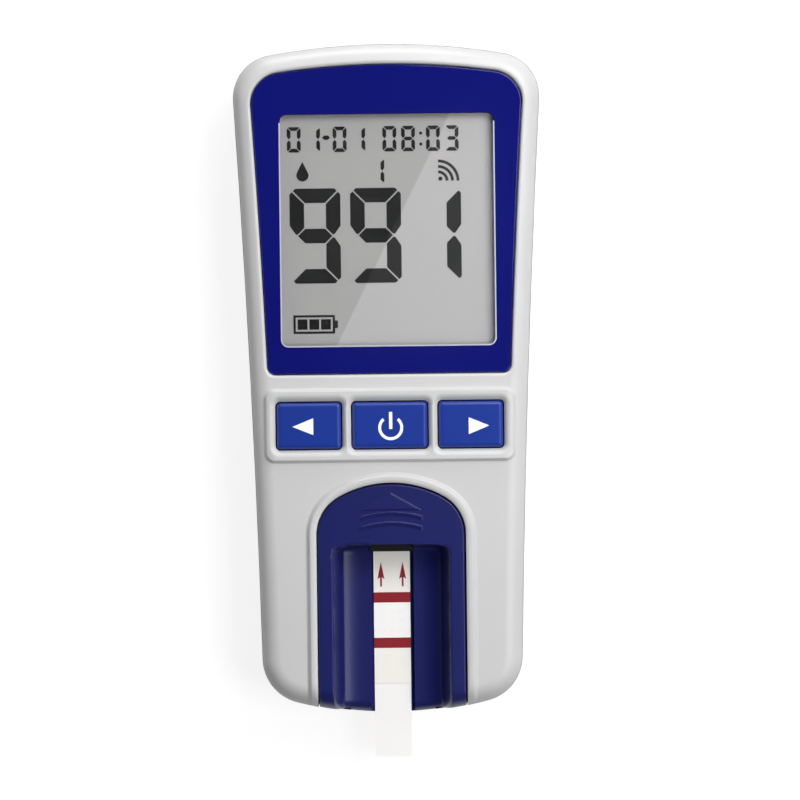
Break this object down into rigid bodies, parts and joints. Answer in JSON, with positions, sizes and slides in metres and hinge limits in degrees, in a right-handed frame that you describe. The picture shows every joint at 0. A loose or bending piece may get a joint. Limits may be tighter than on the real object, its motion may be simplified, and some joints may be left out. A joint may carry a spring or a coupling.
{
  "type": "hemoglobin meter",
  "caption": "Hand-held hemoglobin meter: tapering case with a display, a row of keys and a slide-out holder that carries a test strip over an optical reader",
  "frame": {"origin": "middle of the flat back that the meter lies on, under the centre of its case", "axes": "+Y towards the display end, +Z out of the display face, +X to the reader's right"},
  "size_m": [0.0576, 0.1345, 0.025],
  "materials": {
    "housing_plastic": "fine satin moulded",
    "panel_plastic": "polished",
    "key_plastic": "satin moulded",
    "holder_plastic": "satin moulded",
    "dark_plastic": "moulded",
    "door_plastic": "fine satin moulded",
    "clear_plastic": "clear polished",
    "cell_glass": "clear",
    "film": "satin film",
    "rubber": "matt",
    "circuit_board": "solder mask",
    "chip_body": "moulded",
    "steel": "plated",
    "spring_metal": "nickel plated",
    "cell_case": "printed sleeve",
    "label_film": "matt film",
    "tape": "foam tape",
    "strip_white": "satin film",
    "strip_cream": "satin film",
    "strip_red": "printed film",
    "strip_pad": "woven mesh",
    "led_resin": "clear resin",
    "ribbon_film": "film"
  },
  "bodies": {
    "meter": {"front_housing": "housing_plastic", "rear_housing": "housing_plastic", "rear_label": "label_film", "case_screws": "steel", "display_panel": "panel_plastic", "display_window": "clear_plastic", "panel_tape": "tape", "lcd_front_film": "film", "lcd_front_glass": "cell_glass", "lcd_rear_glass": "cell_glass", "lcd_reflector": "film", "lcd_frame": "dark_plastic", "zebra_strips": "rubber", "main_board": "circuit_board", "board_screws": "steel", "left_switch": "chip_body", "power_switch": "chip_body", "right_switch": "chip_body", "buzzer": "chip_body", "controller_chip": "chip_body", "memory_chip": "chip_body", "crystal": "steel", "capacitors": "cell_case", "data_socket": "steel", "socket_contacts": "dark_plastic", "chip_socket": "dark_plastic", "optics_block": "dark_plastic", "optics_window": "clear_plastic", "optics_board": "circuit_board", "optics_leds": "led_resin", "photodiode": "chip_body", "optics_screws": "steel", "ribbon_connector": "chip_body", "ribbon_cable": "ribbon_film", "battery_1": "cell_case", "battery_2": "cell_case", "battery_3": "cell_case", "battery_4": "cell_case", "contact_links": "spring_metal", "terminal_contacts": "spring_metal", "contact_springs": "spring_metal"},
    "left_key": {"left_button": "key_plastic", "left_plunger": "dark_plastic"},
    "power_key": {"power_button": "key_plastic", "power_plunger": "dark_plastic"},
    "right_key": {"right_button": "key_plastic", "right_plunger": "dark_plastic"},
    "holder": {"strip_holder": "holder_plastic", "slot_guide": "dark_plastic"},
    "test_strip": {"strip_backing": "strip_white", "strip_arrow_film": "strip_cream", "strip_bands": "strip_red", "strip_sample_pad": "strip_pad", "strip_handle_film": "strip_cream"},
    "door": {"battery_door": "door_plastic"},
    "chip": {"code_chip": "dark_plastic"}
  },
  "joints": [
    {"name": "left_key_press", "type": "slide", "parent": "meter", "child": "left_key", "axis": [0, 0, -1], "range_m": [0, 0.0005], "stiffness_N_per_m": 1500},
    {"name": "power_key_press", "type": "slide", "parent": "meter", "child": "power_key", "axis": [0, 0, -1], "range_m": [0, 0.0005], "stiffness_N_per_m": 1500},
    {"name": "right_key_press", "type": "slide", "parent": "meter", "child": "right_key", "axis": [0, 0, -1], "range_m": [0, 0.0005], "stiffness_N_per_m": 1500},
    {"name": "strip_holder_slide", "type": "slide", "parent": "meter", "child": "holder", "axis": [0, -1, 0], "range_m": [0, 0.05]},
    {"name": "strip_slide", "type": "slide", "parent": "holder", "child": "test_strip", "axis": [0, -1, 0], "range_m": [0, 0.045]},
    {"name": "battery_door_hinge", "type": "hinge", "parent": "meter", "child": "door", "pos_m": [0, 0.0537, 0], "axis": [1, 0, 0], "range_deg": [0, 80]},
    {"name": "code_chip_pull", "type": "slide", "parent": "meter", "child": "chip", "axis": [-1, 0, 0], "range_m": [0, 0.012]}
  ]
}
